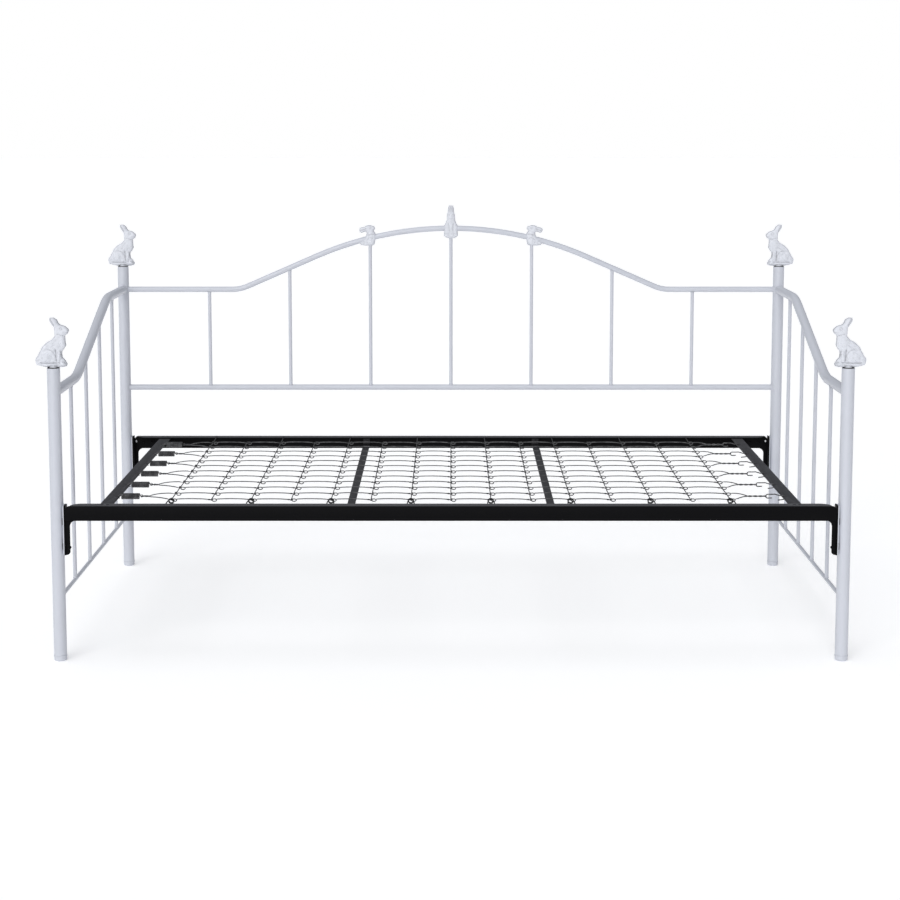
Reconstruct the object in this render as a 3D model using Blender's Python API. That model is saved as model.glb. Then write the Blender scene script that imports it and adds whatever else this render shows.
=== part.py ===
"""A white steel daybed: tube ends and back with cast rabbits, round a hooked-on black link-spring deck."""

import math

import bmesh
import bpy
from mathutils import Matrix, Vector

# Driving dimensions, in metres. +X runs along the daybed, +Y from its open front to its back, +Z up.
POST_SPAN = 1.94  # between the post centres along X
POST_DEPTH = 1.0  # between the post centres along Y
POST_RADIUS = 0.016
POST_WALL = 0.0015
RAIL_WALL = 0.0012
FRONT_POST_TOP = 0.732
REAR_POST_TOP = 0.902
RAIL_TOP = 0.834  # where the arched back rail and the arm rails meet the rear posts
ARM_FRONT = 0.671
ARM_RADIUS = 0.0125
BACK_RADIUS = 0.008
SPINDLE_RADIUS = 0.005
ARCH_TOP = 1.015
ARCH_RADIUS = 1.0
ARCH_HALF = 0.40  # half the width of the round top of the arch
BACK_LOWER = 0.5414
END_LOWER = 0.155
BACK_SPINDLES = 7
BACK_PITCH = 0.2385
END_SPINDLES = 4
DECK_TOP = 0.392
RAIL_HEIGHT = 0.037
FLANGE = 0.032
SHEET = 0.003
RAIL_FACE = 0.515  # from the middle of the deck to the outer face of a side rail
RAIL_HALF = 0.9475
END_ANGLE_IN = 0.837
STRAP_X = 0.2525
STRAP_WIDTH = 0.020
WIRE = 0.003
LINES = 12
LINE_PITCH = 0.0755
CROSS_WIRES = 15
CROSS_PITCH = 0.1
SPRING_RADIUS = 0.0075
SPRING_SPAN = (0.7865, 0.832)
SPRING_HOOK = 0.0069  # from the coils to the tip of the inner hook
END_HOOK_START = 0.794  # where the bend of an end hook begins
LIFT = 0.014  # how far the deck rises to free its hooks
GAP = 0.0003

HALF_X = POST_SPAN / 2
HALF_Y = POST_DEPTH / 2
X = Vector((1, 0, 0))
Y = Vector((0, 1, 0))
Z = Vector((0, 0, 1))
SIDES = {"left": -1, "right": 1}
ENDS = {"front": -1, "rear": 1}
TOPS = {"front": FRONT_POST_TOP, "rear": REAR_POST_TOP}


def clear_scene():
    for old in list(bpy.data.objects):
        bpy.data.objects.remove(old)


def finish(name, color, roughness, metallic):
    """A plain Principled finish."""
    material = bpy.data.materials.new(name)
    material.use_nodes = True
    shader = material.node_tree.nodes["Principled BSDF"]
    shader.inputs["Base Color"].default_value = (*color, 1)
    shader.inputs["Roughness"].default_value = roughness
    shader.inputs["Metallic"].default_value = metallic
    return material


def node(name, bm, material, origin=Vector(), parent=None):
    """Makes an object of a bmesh drawn in world metres, with its own origin."""
    bmesh.ops.remove_doubles(bm, verts=bm.verts, dist=1e-6)
    bmesh.ops.recalc_face_normals(bm, faces=bm.faces)
    bmesh.ops.translate(bm, verts=bm.verts, vec=-origin)
    mesh = bpy.data.meshes.new(name)
    bm.to_mesh(mesh)
    bm.free()
    mesh.shade_smooth()
    mesh.set_sharp_from_angle(angle=math.radians(40))
    mesh.materials.append(material.copy())
    piece = bpy.data.objects.new(name, mesh)
    piece.location = origin - (parent.location if parent else Vector())  # the parent is an unturned empty
    piece.parent = parent
    bpy.context.collection.objects.link(piece)
    return piece


def guide(name, bm, material, **place):
    """A shape that only cuts or joins another piece."""
    piece = node(name, bm, material, **place)
    piece.hide_render = True
    piece.display_type = "WIRE"
    return piece


def combine(piece, operation, other):
    step = piece.modifiers.new(operation.lower(), "BOOLEAN")
    step.operation = operation
    step.object = other


def turned(profile, centre, axis, start, sides):
    """A bmesh turned from (radius, distance along the axis) points; start points to the first side."""
    bm = bmesh.new()
    ring = [bm.verts.new(centre + r * start + h * axis) for r, h in profile]
    edges = [bm.edges.new(pair) for pair in zip(ring, ring[1:])]
    bmesh.ops.spin(
        bm, geom=ring + edges, cent=centre, axis=axis, angle=math.tau, steps=sides, use_merge=True
    )
    return bm


def cope(verts, along, point, axis, radius):
    """Slides an end ring along its tube until it fits round another tube."""
    for v in verts:
        away = v.co - point
        away -= away.dot(axis) * axis
        slide = along - along.dot(axis) * axis
        a, b, c = slide.dot(slide), away.dot(slide), away.dot(away) - (radius + GAP) ** 2
        v.co += along * (-b - math.sqrt(b * b - a * c)) / a


def skin(bm, path, across, radius, sides, first, last):
    """Adds the round wall of a tube along a flat path, and gives its two end rings, coped to first and last."""
    rings = []
    turns = [math.tau * k / sides for k in range(sides)]
    for i, centre in enumerate(path):
        along = (path[min(i + 1, len(path) - 1)] - path[max(i - 1, 0)]).normalized()
        out = along.cross(across)
        spokes = [math.cos(t) * across + math.sin(t) * out for t in turns]
        rings.append([bm.verts.new(centre + radius * spoke) for spoke in spokes])
    for one, two in zip(rings, rings[1:]):
        for k in range(sides):
            n = (k + 1) % sides
            bm.faces.new((one[k], one[n], two[n], two[k]))
    cope(rings[0], (path[0] - path[1]).normalized(), *first)
    cope(rings[-1], (path[-1] - path[-2]).normalized(), *last)
    return rings[0], rings[-1]


def tube(path, across, radius, sides, first, last, wall=0.0):
    """A bmesh of a rod, or of a tube with a wall, coped at each end to a (point, axis, radius)."""
    bm = bmesh.new()
    outside = skin(bm, path, across, radius, sides, first, last)
    inside = skin(bm, path, across, radius - wall, sides, first, last) if wall else (None, None)
    for ring, bore in zip(outside, inside):
        for k in range(sides):
            n = (k + 1) % sides
            if bore:
                bm.faces.new((ring[k], ring[n], bore[n], bore[k]))
            elif k < sides // 2:
                strip = (ring[k], ring[k + 1], ring[sides - k - 1], ring[-k])
                bm.faces.new(list(dict.fromkeys(strip)))
    return bm


def thicken(bm, depth):
    """Pushes every face out along depth into a closed body."""
    grown = bmesh.ops.extrude_face_region(bm, geom=bm.faces[:])["geom"]
    bmesh.ops.translate(bm, verts=[g for g in grown if isinstance(g, bmesh.types.BMVert)], vec=depth)
    return bm


def extruded(outline, depth):
    """A bmesh of a flat outline pushed out along depth."""
    bm = bmesh.new()
    bm.faces.new([bm.verts.new(p) for p in outline])
    return thicken(bm, depth)


def box(low, high):
    size = Vector(high) - Vector(low)
    place = Matrix.Translation((Vector(high) + Vector(low)) / 2) @ Matrix.Diagonal((*size, 1))
    bm = bmesh.new()
    bmesh.ops.create_cube(bm, size=1, matrix=place)
    return bm


def pierced(lines_u, lines_v, solid, at, depth):
    """A bmesh of a flat grid, with only the cells that solid(i, j) keeps, pushed out along depth."""
    bm = bmesh.new()
    made = {}

    def corner(i, j):
        if (i, j) not in made:
            made[i, j] = bm.verts.new(at(lines_u[i], lines_v[j]))
        return made[i, j]

    for i in range(len(lines_u) - 1):
        for j in range(len(lines_v) - 1):
            if solid(i, j):
                bm.faces.new((corner(i, j), corner(i + 1, j), corner(i + 1, j + 1), corner(i, j + 1)))
    return thicken(bm, depth)


# ---------------------------------------------------------------- posts and rails

POST_SIDES = 16
STUD_HOLE = 0.0046
FOOT = 0.004  # thickness of the closed foot
ROUND = 0.002  # rounding of the foot and of the post's top


def post(name, x, y, top):
    """A tube with a closed foot and a top disc, bored for the finial's stud."""
    inner = POST_RADIUS - POST_WALL
    profile = [
        (0, 0),
        (POST_RADIUS - ROUND, 0),
        (POST_RADIUS, ROUND),
        (POST_RADIUS, top - ROUND / 2),
        (POST_RADIUS - ROUND / 2, top),
        (STUD_HOLE, top),
        (STUD_HOLE, top - SHEET),
        (inner, top - SHEET),
        (inner, FOOT),
        (0, FOOT),
    ]
    foot = Vector((x, y, 0))
    node(name, turned(profile, foot, Z, X, POST_SIDES), WHITE, foot)


def arc(centre, radius, start, end, steps):
    """Points of (u, v) along an arc, from angle start to angle end in degrees."""
    turns = [math.radians(start + (end - start) * k / steps) for k in range(steps + 1)]
    return [(centre[0] + radius * math.cos(t), centre[1] + radius * math.sin(t)) for t in turns]


def arch_outline():
    """The back rail's centre line as (x, z): level, a quick bend up, a slope, and a round top."""
    slope = math.degrees(math.asin(ARCH_HALF / ARCH_RADIUS))
    top = arc((0, ARCH_TOP - ARCH_RADIUS), ARCH_RADIUS, 90 + slope, 90 - slope, 26)
    bend = 0.12
    rise = top[0][1] - RAIL_TOP
    knee = ARCH_HALF + rise / math.tan(math.radians(slope))
    start = knee + bend * math.tan(math.radians(slope / 2))
    left = arc((-start, RAIL_TOP + bend), bend, -90, slope - 90, 4)
    right = [(-u, v) for u, v in reversed(left)]
    return [(-HALF_X, RAIL_TOP), *left, *top, *right, (HALF_X, RAIL_TOP)]


def arm_outline():
    """An arm rail's centre line as (y, z): level from the front post, then an S up to the rear post."""
    slope, bend = 20, 0.25
    half = (RAIL_TOP - ARM_FRONT) / 2
    middle = (RAIL_TOP + ARM_FRONT) / 2
    knee = half / math.tan(math.radians(slope)) + bend * math.tan(math.radians(slope / 2))
    low = arc((-knee, ARM_FRONT + bend), bend, -90, slope - 90, 6)
    high = [(-u, 2 * middle - v) for u, v in reversed(low)]
    return [(-HALF_Y, ARM_FRONT), *low, *high, (HALF_Y, RAIL_TOP)]


def along_outline(outline, at):
    """The height of an outline and its direction at one place along it."""
    for (u0, v0), (u1, v1) in zip(outline, outline[1:]):
        if u0 <= at <= u1:
            return v0 + (v1 - v0) * (at - u0) / (u1 - u0), Vector((u1 - u0, v1 - v0)).normalized()
    raise ValueError(at)


def back_panel():
    posts = [(Vector((side * HALF_X, HALF_Y, 0)), Z, POST_RADIUS) for side in (-1, 1)]
    arch = arch_outline()
    path = [Vector((x, HALF_Y, z)) for x, z in arch]
    top = tube(path, Y, BACK_RADIUS, 12, *posts, RAIL_WALL)
    node("back_top_rail", top, WHITE, Vector((0, HALF_Y, RAIL_TOP)))
    straight = [Vector((side * HALF_X, HALF_Y, BACK_LOWER)) for side in (-1, 1)]
    lower = tube(straight, Y, BACK_RADIUS, 12, *posts, RAIL_WALL)
    node("back_lower_rail", lower, WHITE, Vector((0, HALF_Y, BACK_LOWER)))
    for k in range(BACK_SPINDLES):
        x = (k - (BACK_SPINDLES - 1) / 2) * BACK_PITCH
        height, slope = along_outline(arch, x)
        low, high = Vector((x, HALF_Y, BACK_LOWER)), Vector((x, HALF_Y, height))
        fits = (low, X, BACK_RADIUS), (high, Vector((slope.x, 0, slope.y)), BACK_RADIUS)
        node(f"back_spindle_{k + 1}", tube([low, high], Y, SPINDLE_RADIUS, 8, *fits), WHITE, low)


def end_panel(side_name, side):
    x = side * HALF_X
    posts = [(Vector((x, end * HALF_Y, 0)), Z, POST_RADIUS) for end in (-1, 1)]
    arm = arm_outline()
    path = [Vector((x, y, z)) for y, z in arm]
    rail = tube(path, X, ARM_RADIUS, 12, *posts, RAIL_WALL)
    node(f"{side_name}_arm_rail", rail, WHITE, Vector((x, 0, ARM_FRONT)))
    straight = [Vector((x, end * HALF_Y, END_LOWER)) for end in (-1, 1)]
    lower = tube(straight, X, SPINDLE_RADIUS, 8, *posts)
    node(f"{side_name}_lower_rail", lower, WHITE, Vector((x, 0, END_LOWER)))
    pitch = POST_DEPTH / (END_SPINDLES + 1)
    for k in range(END_SPINDLES):
        y = (k + 1) * pitch - HALF_Y
        height, slope = along_outline(arm, y)
        low, high = Vector((x, y, END_LOWER)), Vector((x, y, height))
        thin = SPINDLE_RADIUS * 0.96  # so that the coped foot closes round a rod of its own size
        fits = (low, Y, SPINDLE_RADIUS), (high, Vector((0, slope.x, slope.y)), ARM_RADIUS)
        node(f"{side_name}_spindle_{k + 1}", tube([low, high], X, thin, 8, *fits), WHITE, low)


# ---------------------------------------------------------------- cast rabbits

# Outlines in millimetres from the middle of the post's top, or from the rail's centre line over a spindle.
SITTING = [
    (-38, 7), (-16, 2.5), (16, 2.5), (26, 3), (33, 5), (35, 10), (30, 19), (23, 27), (21, 40), (27, 47),
    (32, 56), (31, 68), (30, 80), (37, 85), (41, 92), (38, 97), (31, 103), (18, 107), (14, 112), (11, 119),
    (3, 124), (-7, 123), (-7, 115), (-1, 106), (4, 99), (5, 78), (-2, 70), (-17, 61), (-26, 52), (-31, 42),
    (-38, 29), (-42, 25), (-43, 19), (-41, 9),
]
LYING = [
    (-17, -22), (8, -22), (13, -18), (15, -9), (16, 13), (10, 22), (15, 28), (13, 34), (0, 38.5), (-9, 37.5),
    (-17, 33), (-29, 30.5), (-33, 25), (-31, 19), (-25, 15), (-17, 19), (-10, 17), (-11, 10), (-16, -1),
    (-26, -9), (-31, -15), (-27, -20.5),
]
UPRIGHT = [
    (-6, -30), (6, -30), (14, -27), (21, -22), (20, -9), (20, 8), (16, 15), (12.5, 24), (12, 37), (9, 50),
    (8.5, 58), (6, 67), (-6, 67), (-8.5, 58), (-9, 50), (-12, 37), (-12.5, 24), (-16, 15), (-20, 8),
    (-20, -9), (-21, -22), (-14, -27),
]
CAST_HALF = 0.011
FINIAL_HALF = 0.013
STUD_RADIUS = 0.004
STUD_DEPTH = 0.026
COLLAR_RADIUS = 0.010
COLLAR_TOP = 0.006
BORE_DEPTH = 0.06  # how far down the spindle's bore in a rail rabbit runs


def cast_outline(points, centre, facing, half):
    """A flat outline, facing +X or -X, as points at the front face of a casting."""
    shown = points if facing > 0 else [(-u, v) for u, v in reversed(points)]
    return [centre + Vector((u / 1000, -half, v / 1000)) for u, v in shown]


def finial(end_name, end, side_name, side):
    """A sitting rabbit that faces the middle of the daybed, on a collar and a threaded stud."""
    top = Vector((side * HALF_X, end * HALF_Y, TOPS[end_name]))
    name = f"{end_name}_{side_name}_finial"
    outline = cast_outline(SITTING, top, -side, FINIAL_HALF)
    body = node(name, extruded(outline, 2 * FINIAL_HALF * Y), CAST, top)
    profile = [
        (0, -STUD_DEPTH),
        (STUD_RADIUS, -STUD_DEPTH),
        (STUD_RADIUS, GAP),
        (COLLAR_RADIUS, GAP),
        (COLLAR_RADIUS, COLLAR_TOP),
        (0, COLLAR_TOP),
    ]
    stud = guide(f"{name}_stud", turned(profile, top, Z, X, 12), CAST, origin=top)
    combine(body, "UNION", stud)


def rail_rabbits():
    """Three rabbits cast round the back rail, over the three middle spindles."""
    arch = arch_outline()
    far = [(Vector((side, HALF_Y, 0)), Z, POST_RADIUS) for side in (-1, 1)]
    near = [(x, z) for x, z in arch if abs(x) < ARCH_HALF]
    bore = tube([Vector((x, HALF_Y, z)) for x, z in near], Y, BACK_RADIUS + GAP, 12, *far)
    rail = guide("rail_bore", bore, CAST)
    rabbits = (("left", -1, LYING, 1), ("centre", 0, UPRIGHT, 1), ("right", 1, LYING, -1))
    for name, place, points, facing in rabbits:
        x = place * BACK_PITCH
        middle = Vector((x, HALF_Y, along_outline(arch, x)[0]))
        outline = cast_outline(points, middle, facing, CAST_HALF)
        body = node(f"{name}_rail_rabbit", extruded(outline, 2 * CAST_HALF * Y), CAST, middle)
        combine(body, "DIFFERENCE", rail)
        loose = SPINDLE_RADIUS + GAP
        profile = [(0, -BORE_DEPTH), (loose, -BORE_DEPTH), (loose, 0), (0, 0)]
        combine(body, "DIFFERENCE", guide(f"{name}_spindle_bore", turned(profile, middle, Z, X, 12), CAST))


# ---------------------------------------------------------------- deck hooks and slot plates

PLATE_HALF = 0.015
PLATE_SHEET = 0.0025
PLATE_OUT = HALF_X - POST_RADIUS - GAP
PLATE_IN = PLATE_OUT - PLATE_SHEET
PLATE_SPAN = (0.2695, 0.3925)
HOOK_FEET = (0.290, 0.352)  # the lower edge of each hook's root
HOOK_HEIGHT = 0.010
HOOK_DROP = 0.008
HOOK_SHEET = 0.002
HOOK_BAND = (0.0088, 0.0112)  # how far the hook stands off the post's middle line
SLOT_BAND = (0.0085, 0.0115)
WING_IN = RAIL_HALF + GAP
WING_OUT = PLATE_IN - 0.0004  # 0.4 mm of play along the bed between a bracket and its slot plate
WING_WIDTH = 0.030
WING_RISE = 0.0015  # above the top of the side rail
LEG_IN = 0.937
LEG_FOOT = 0.268
BRACKET_IN = 0.885
BRACKET_SHEET = 0.0025
CORNER = 0.015


def slot_plate(end_name, end, side_name, side):
    """A plate welded to the post's inner side, with two slots that the deck's hooks drop into."""
    ys = [-PLATE_HALF, -SLOT_BAND[1], -SLOT_BAND[0], PLATE_HALF]
    zs = [PLATE_SPAN[0]]
    for foot in HOOK_FEET:
        zs += [foot - GAP, foot + HOOK_HEIGHT + LIFT + 2 * GAP]
    zs.append(PLATE_SPAN[1])

    def at(y, z):
        return Vector((side * PLATE_IN, end * HALF_Y - end * y, z))

    plate = pierced(ys, zs, lambda i, j: not (i == 1 and j in (1, 3)), at, side * (PLATE_OUT - PLATE_IN) * X)
    node(f"{end_name}_{side_name}_slot_plate", plate, WHITE, Vector((side * HALF_X, end * HALF_Y, 0)))


def hook_bracket(end_name, end, side_name, side, unit):
    """A pressed corner bracket riveted behind the side rail, with a leg, an end wing and two hooks."""
    name = f"{end_name}_{side_name}_hook_bracket"
    foot, top = LEG_FOOT, DECK_TOP - SHEET - GAP
    shelf = DECK_TOP - RAIL_HEIGHT
    inner = arc((LEG_IN - CORNER, shelf - CORNER), CORNER, 0, 90, 5)
    outline = [(WING_OUT, foot), (WING_OUT, top), (BRACKET_IN, top), (BRACKET_IN, shelf)]
    outline += [*reversed(inner), (LEG_IN, foot)]
    face = end * (RAIL_FACE - SHEET - GAP)
    points = [Vector((side * x, face, z)) for x, z in outline]
    leg = extruded(points, -end * BRACKET_SHEET * Y)
    bracket = node(name, leg, BLACK, Vector((side * WING_IN, face, foot)), unit)
    ys = sorted((end * RAIL_FACE, end * (RAIL_FACE - WING_WIDTH)))
    xs = sorted((side * WING_IN, side * WING_OUT))
    wing = guide(f"{name}_wing", box((xs[0], ys[0], foot), (xs[1], ys[1], DECK_TOP + WING_RISE)), BLACK)
    combine(bracket, "UNION", wing)
    behind = PLATE_OUT + GAP
    for k, low in enumerate(HOOK_FEET):
        high = low + HOOK_HEIGHT
        hook = [
            (WING_IN + SHEET / 3, low),
            (behind, low),
            (behind, low - HOOK_DROP),
            (behind + HOOK_SHEET, low - HOOK_DROP),
            (behind + HOOK_SHEET, high),
            (WING_IN + SHEET / 3, high),
        ]
        start = end * (HALF_Y + HOOK_BAND[0])
        points = [Vector((side * x, start, z)) for x, z in hook]
        shape = extruded(points, end * (HOOK_BAND[1] - HOOK_BAND[0]) * Y)
        combine(bracket, "UNION", guide(f"{name}_hook_{k + 1}", shape, BLACK))


# ---------------------------------------------------------------- link-spring deck

RAIL_EDGE = 0.0015  # bevel on the side rail's bent corner
STRAP_DROP = 0.027
STRAP_TIP_DROP = 0.007
FABRIC_DROP = 0.0045
FABRIC_PLAY = 0.0005  # between the fabric's cross wires and the side rails' flanges
SPRING_DROP = 0.003
HOOK_WIRE = 0.0012  # radius of a spring's hook, as a straight pin
SPRING_TAPER = 0.001
END_HOOK_WIRE = 0.0028  # thickness of an end hook's wire
END_HOOK_HALF = 0.0062  # half the height of its bend
END_HOOK_PRONG = 0.016  # length of its short prong


def side_rail(end_name, end, unit):
    """An angle rail: a face plate and a top flange, turned inwards."""
    bottom = DECK_TOP - RAIL_HEIGHT
    profile = [
        (RAIL_FACE, bottom),
        (RAIL_FACE, DECK_TOP - RAIL_EDGE),
        (RAIL_FACE - RAIL_EDGE, DECK_TOP),
        (RAIL_FACE - FLANGE, DECK_TOP),
        (RAIL_FACE - FLANGE, DECK_TOP - SHEET),
        (RAIL_FACE - SHEET, DECK_TOP - SHEET),
        (RAIL_FACE - SHEET, bottom),
    ]
    points = [Vector((-RAIL_HALF, end * y, z)) for y, z in profile]
    node(f"{end_name}_side_rail", extruded(points, 2 * RAIL_HALF * X), BLACK, unit.location.copy(), unit)


def end_angle(side_name, side, unit):
    """An angle across the deck: its top flange lies under those of the side rails, its other one hangs."""
    low = DECK_TOP - 2 * SHEET - GAP
    outer = END_ANGLE_IN + FLANGE
    xs = sorted((side * END_ANGLE_IN, side * outer))
    reach = RAIL_FACE - SHEET - GAP
    flange = box((xs[0], -reach, low), (xs[1], reach, low + SHEET))
    piece = node(f"{side_name}_end_angle", flange, BLACK, unit.location.copy(), unit)
    xs = sorted((side * outer, side * (outer - SHEET)))
    inside = RAIL_FACE - FLANGE - GAP
    web = box((xs[0], -inside, low - FLANGE), (xs[1], inside, low + SHEET / 2))
    combine(piece, "UNION", guide(f"{side_name}_end_web", web, BLACK))


def cross_strap(side_name, side, unit):
    """A flat strap under the fabric, with its ends turned up inside the side rails."""
    reach = RAIL_FACE - SHEET - GAP
    low, tip = DECK_TOP - STRAP_DROP, DECK_TOP - STRAP_TIP_DROP
    half = [(reach, low), (reach, tip), (reach - SHEET, tip), (reach - SHEET, low + SHEET)]
    outline = half + [(-y, z) for y, z in reversed(half)]
    points = [Vector((side * STRAP_X - STRAP_WIDTH / 2, y, z)) for y, z in outline]
    node(f"{side_name}_cross_strap", extruded(points, STRAP_WIDTH * X), BLACK, unit.location.copy(), unit)


def link_fabric(unit):
    """The wire fabric as a flat grille: lines, cross wires, and a link bar to each spring and end hook."""
    cross = [(k - (CROSS_WIRES - 1) / 2) * CROSS_PITCH for k in range(CROSS_WIRES)]
    lines = [(k - (LINES - 1) / 2) * LINE_PITCH for k in range(LINES)]
    links = [(lines[k] + lines[k + 1]) / 2 for k in range(0, LINES, 2)]
    left, right = SPRING_SPAN[0] - SPRING_HOOK - GAP, END_HOOK_START - GAP
    edge_y = RAIL_FACE - FLANGE - FABRIC_PLAY
    half = WIRE / 2
    us = [-left, *(c + s for c in cross for s in (-half, half)), right]
    bands = sorted(lines + links)
    vs = [-edge_y, *(b + s for b in bands for s in (-half, half)), edge_y]

    def solid(i, j):
        """Cell i lies on a cross wire when i is odd; cell j lies on a line or a link bar when j is odd."""
        on_cross = i % 2 == 1
        on_band = j % 2 == 1
        is_link = on_band and bands[j // 2] in links
        past_end = i in (0, len(us) - 2)
        past_edge = j in (0, len(vs) - 2)
        if past_end:
            return is_link
        if past_edge:
            return on_cross and (i // 2) % 2 == 0
        return on_cross or (on_band and not is_link)

    height = DECK_TOP - FABRIC_DROP
    sheet = pierced(us, vs, solid, lambda u, v: Vector((u, v, height)), WIRE * Z)
    node("link_fabric", sheet, BLACK, unit.location.copy(), unit)
    return links


def helical_springs(links, unit):
    """At the left end, a close-wound spring with a hook at each end, for every link bar."""
    near, far = SPRING_SPAN
    profile = [
        (0, near - SPRING_HOOK),
        (HOOK_WIRE, near - SPRING_HOOK),
        (HOOK_WIRE, near - SPRING_TAPER),
        (SPRING_RADIUS, near),
        (SPRING_RADIUS, far),
        (HOOK_WIRE, far + SPRING_TAPER),
        (HOOK_WIRE, END_ANGLE_IN - GAP),
        (0, END_ANGLE_IN - GAP),
    ]
    for k, y in enumerate(links):
        centre = Vector((0, y, DECK_TOP - SPRING_DROP))
        shape = turned(profile, centre, -X, Z, 10)
        node(f"left_spring_{k + 1}", shape, STEEL, centre - near * X, unit)


def end_hooks(links, unit):
    """At the right end, an open wire hook standing on edge for every link bar, its long side on top."""
    inner = END_HOOK_HALF - END_HOOK_WIRE
    start = END_HOOK_START
    middle = (start + END_HOOK_HALF, 0)
    prong, end = start + END_HOOK_PRONG, END_ANGLE_IN - GAP
    bend_out = arc(middle, END_HOOK_HALF, 90, 270, 8)
    bend_in = arc(middle, inner, 270, 90, 8)
    outline = [(end, inner), (end, END_HOOK_HALF), *bend_out]
    outline += [(prong, -END_HOOK_HALF), (prong, -inner), *bend_in]
    for k, y in enumerate(links):
        centre = Vector((0, y, DECK_TOP - SPRING_DROP))
        points = [centre + Vector((u, -END_HOOK_WIRE / 2, v)) for u, v in outline]
        node(f"right_end_hook_{k + 1}", extruded(points, END_HOOK_WIRE * Y), STEEL, centre + start * X, unit)


def deck():
    unit = bpy.data.objects.new("link_spring_unit", None)
    unit.location = (0, 0, DECK_TOP)
    bpy.context.collection.objects.link(unit)
    for end_name, end in ENDS.items():
        side_rail(end_name, end, unit)
        for side_name, side in SIDES.items():
            hook_bracket(end_name, end, side_name, side, unit)
    for side_name, side in SIDES.items():
        end_angle(side_name, side, unit)
        cross_strap(side_name, side, unit)
    links = link_fabric(unit)
    helical_springs(links, unit)
    end_hooks(links, unit)


clear_scene()
WHITE = finish("white_powder_coat", (0.74, 0.77, 0.83), 0.35, 0.0)
CAST = finish("white_painted_casting", (0.74, 0.77, 0.83), 0.45, 0.0)
BLACK = finish("black_enamel", (0.015, 0.015, 0.017), 0.45, 0.0)
STEEL = finish("dark_spring_wire", (0.12, 0.12, 0.13), 0.4, 0.8)

for end_name, end in ENDS.items():
    for side_name, side in SIDES.items():
        post(f"{end_name}_{side_name}_post", side * HALF_X, end * HALF_Y, TOPS[end_name])
        finial(end_name, end, side_name, side)
        slot_plate(end_name, end, side_name, side)
back_panel()
for side_name, side in SIDES.items():
    end_panel(side_name, side)
rail_rabbits()
deck()
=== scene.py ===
"""A white steel daybed: tube ends and back with cast rabbits, round a hooked-on black link-spring deck."""

import math

import bmesh
import bpy
from mathutils import Matrix, Vector, noise


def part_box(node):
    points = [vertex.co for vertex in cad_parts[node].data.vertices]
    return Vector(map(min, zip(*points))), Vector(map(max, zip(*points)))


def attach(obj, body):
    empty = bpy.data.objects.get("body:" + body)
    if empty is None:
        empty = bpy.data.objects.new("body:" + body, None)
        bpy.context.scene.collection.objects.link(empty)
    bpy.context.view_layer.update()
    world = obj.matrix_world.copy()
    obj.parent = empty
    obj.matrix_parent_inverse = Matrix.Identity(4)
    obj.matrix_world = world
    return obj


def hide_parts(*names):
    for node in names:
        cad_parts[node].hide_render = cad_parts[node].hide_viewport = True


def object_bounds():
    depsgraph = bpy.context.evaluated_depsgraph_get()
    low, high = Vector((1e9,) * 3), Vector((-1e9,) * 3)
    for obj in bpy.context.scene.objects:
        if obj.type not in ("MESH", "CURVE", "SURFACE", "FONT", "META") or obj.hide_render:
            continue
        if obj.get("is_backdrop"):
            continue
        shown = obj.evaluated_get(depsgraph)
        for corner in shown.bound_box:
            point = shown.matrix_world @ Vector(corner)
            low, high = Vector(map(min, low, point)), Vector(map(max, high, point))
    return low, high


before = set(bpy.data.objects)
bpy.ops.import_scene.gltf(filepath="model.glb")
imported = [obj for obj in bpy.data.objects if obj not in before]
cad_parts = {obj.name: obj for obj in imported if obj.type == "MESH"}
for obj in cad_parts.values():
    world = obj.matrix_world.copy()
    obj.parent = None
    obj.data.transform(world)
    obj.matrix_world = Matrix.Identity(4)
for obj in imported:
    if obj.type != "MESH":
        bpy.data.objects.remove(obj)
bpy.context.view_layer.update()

# ---------------------------------------------------------------- camera, floor and light
# The daybed stands on a plain pale floor. The camera stands in front of its open side, above mattress
# height, with a long lens; its small shift keeps the posts close to upright.

camera = bpy.data.objects.new("camera", bpy.data.cameras.new("camera"))
camera.location = (0, -5.036, 1.336)
camera.rotation_euler = (math.radians(90 - 6.79), 0, 0)
camera.data.lens = 75.0
camera.data.sensor_width = 36
camera.data.shift_x = -0.0010
camera.data.shift_y = -0.12
camera.data.clip_end = 200
bpy.context.scene.collection.objects.link(camera)
bpy.context.scene.camera = camera
bpy.context.scene.view_settings.view_transform = "Standard"

X = Vector((1, 0, 0))
Y = Vector((0, 1, 0))
Z = Vector((0, 0, 1))


def lamp(name, strength, spread, direction, tint):
    """A very soft light that falls evenly on the whole floor, from a direction."""
    light = bpy.data.lights.new(name, "SUN")
    light.energy = strength
    light.angle = math.radians(spread)
    light.color = tint
    thing = bpy.data.objects.new(name, light)
    thing.rotation_euler = Vector(direction).to_track_quat("Z", "Y").to_euler()
    bpy.context.scene.collection.objects.link(thing)


lamp("front_softbox", 1.55, 45, (-0.35, -1.0, 0.45), (1.0, 0.99, 0.97))
lamp("top_softbox", 0.6, 35, (-0.25, -0.1, 1.0), (0.97, 0.98, 1.0))

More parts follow.
